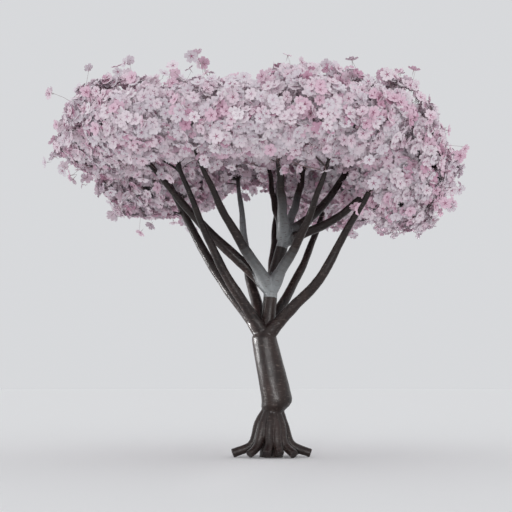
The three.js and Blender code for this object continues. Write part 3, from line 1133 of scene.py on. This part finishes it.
fullPetals = modelPetals(flower["around"], 0, flower["corners"])
fullFlower = gatherFlower([(0, fullPetals), (1, modelRays()), (2, modelStalk())])
plainPetals = modelPetals(flower["plainAround"], flower["plainTurn"], flower["plainCorners"])
plainFlower = gatherFlower([(0, plainPetals), (2, modelStalk())])
flowerKinds = [fullFlower, plainFlower]
print("flowers of", [len(kind[1]) for kind in flowerKinds], "triangles")

goldenAngle = 2.39996
sprayWaver = 0.18  # how unevenly the flowers stand


def unit(vectors):
    return vectors / np.linalg.norm(vectors, axis=-1, keepdims=True)


def axesAlong(normals):
    # for each normal, two directions across it, turned at random
    helper = np.where(np.abs(normals[:, 2:]) < 0.8, [[0, 0, 1.0]], [[1.0, 0, 0]])
    across = unit(np.cross(helper, normals))
    other = np.cross(normals, across)
    spin = chance.uniform(0, 2 * math.pi, len(normals))[:, None]
    return np.cos(spin) * across + np.sin(spin) * other, np.cos(spin) * other - np.sin(spin) * across


def sprayFlowers(heart, outward, spray):
    # flowers spread evenly over the side of the spray that faces out, by the golden angle
    count = int(chance.integers(*spray["count"]))
    total = int(math.ceil(count * 2 / (1 - spray["low"])))
    turn = chance.uniform(0, 2 * math.pi)
    order = np.arange(count)
    height = (1 - (2 * order + 1) / total)[:, None]
    angle = (order * goldenAngle + turn)[:, None]
    flat = np.sqrt(np.maximum(0, 1 - height**2))
    side, other = axesAlong(outward[None])
    ways = height * outward + flat * np.cos(angle) * side + flat * np.sin(angle) * other
    ways = unit(ways + chance.normal(0, sprayWaver, (count, 3)))
    offsets = ways * chance.uniform(*spray["radius"], count)[:, None]
    places = heart + offsets - (1 - spray["flatness"]) * (offsets @ outward)[:, None] * outward
    places = np.clip(places, roomLow, roomHigh)
    away = unit(np.array([heart[0], heart[1], 0.0]))
    own, out, aside, loose = spray["facing"]
    facing = unit(own * ways + out * outward + aside * away + chance.normal(0, loose, (count, 3)))
    return places, facing


def spraysAt(onSurface, isLone):
    if isLone:
        return [sprays["lone"]]
    return [sprays["front"], sprays["back"]] if onSurface else [sprays["inner"]]


def pickColours(shades):
    # material slots of the petals and the rays of one flower
    shade = slotIndex[shades[chance.choice(len(shades), p=shadeShares)]]
    if chance.random() < roseShare:
        shade = slotIndex["petalRose"]
    isPink = shade >= slotIndex["petalBlush"]
    return shade, slotIndex["rayRose" if isPink or chance.random() < roseRayShare else "raySoft"]


blossoms = {name: ([], []) for name in massNames}  # full and plain flowers: place, facing, size, shade, ray
tintShares = np.array([share for share, shades in sprayTints])
tintShares = tintShares / tintShares.sum()
for heart, outward, owner, onSurface, isLone in zip(hearts, outwards, owners, outer, lone):
    tint = sprayTints[chance.choice(len(sprayTints), p=tintShares)][1]
    for spray in spraysAt(onSurface, isLone):
        shades = tint if spray["kind"] == 0 else paintedLightShades  # painted light: the lightest shades behind, so that the shaded gaps don't look dark
        for place, face in zip(*sprayFlowers(heart, outward, spray)):
            shade, ray = pickColours(shades)
            blossoms[owner][spray["kind"]].append((*place, *face, chance.uniform(*spray["size"]), shade, ray))
for tip, way, owner in wands:
    spray = sprays["wand"]
    for place, face in zip(*sprayFlowers(tip, way, spray)):
        shade = slotIndex[wandShades[chance.integers(len(wandShades))]]
        size = chance.uniform(*spray["size"])
        blossoms[owner][spray["kind"]].append((*place, *face, size, shade, slotIndex["rayRose"]))


def layOut(kind, rows):
    # corners, faces and material slots of one kind of flower, once for each row;
    # a row's columns are place (0 to 2), facing (3 to 5), size (6), petal slot (7) and ray slot (8)
    corners, faces, parts = kind
    across, other = axesAlong(rows[:, 3:6])
    turn = np.stack([across, other, rows[:, 3:6]], axis=2)
    places = np.einsum("nij,vj->nvi", turn, corners) * rows[:, 6, None, None] + rows[:, None, :3]
    faces = faces[None] + (np.arange(len(rows)) * len(corners))[:, None, None]
    stalk = slotIndex["stalkBrown"]
    slots = np.select([parts[None] == 0, parts[None] == 1], [rows[:, 7:8], rows[:, 8:9]], stalk)
    return places.reshape(-1, 3), faces.reshape(-1, 3), slots.ravel()


def makeBlossom(name, rowsByKind):
    places, faces, slots = [], [], []
    for kind, rows in zip(flowerKinds, rowsByKind):
        somePlaces, someFaces, someSlots = layOut(kind, np.array(rows))
        faces.append(someFaces + sum(len(part) for part in places))
        places.append(somePlaces)
        slots.append(someSlots)
    places, faces, slots = (np.concatenate(part) for part in (places, faces, slots))
    mesh = bpy.data.meshes.new(name)
    mesh.vertices.add(len(places))
    mesh.vertices.foreach_set("co", places.ravel())
    mesh.loops.add(faces.size)
    mesh.loops.foreach_set("vertex_index", faces.ravel())
    mesh.polygons.add(len(faces))
    mesh.polygons.foreach_set("loop_start", np.arange(0, faces.size, 3))
    mesh.polygons.foreach_set("material_index", slots.astype(int))
    mesh.polygons.foreach_set("use_smooth", np.ones(len(faces), bool))
    mesh.update(calc_edges=True)
    mesh.validate()
    for material in blossomMaterials:
        mesh.materials.append(material)
    piece = bpy.data.objects.new(name, mesh)
    bpy.context.collection.objects.link(piece)
    return piece


for name in massNames:
    piece = makeBlossom(name.replace("blossom_", "flowers_"), blossoms[name])
    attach(piece, "root")
    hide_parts(name)
    print(piece.name, triangles(piece), "triangles in", sum(map(len, blossoms[name])), "flowers")
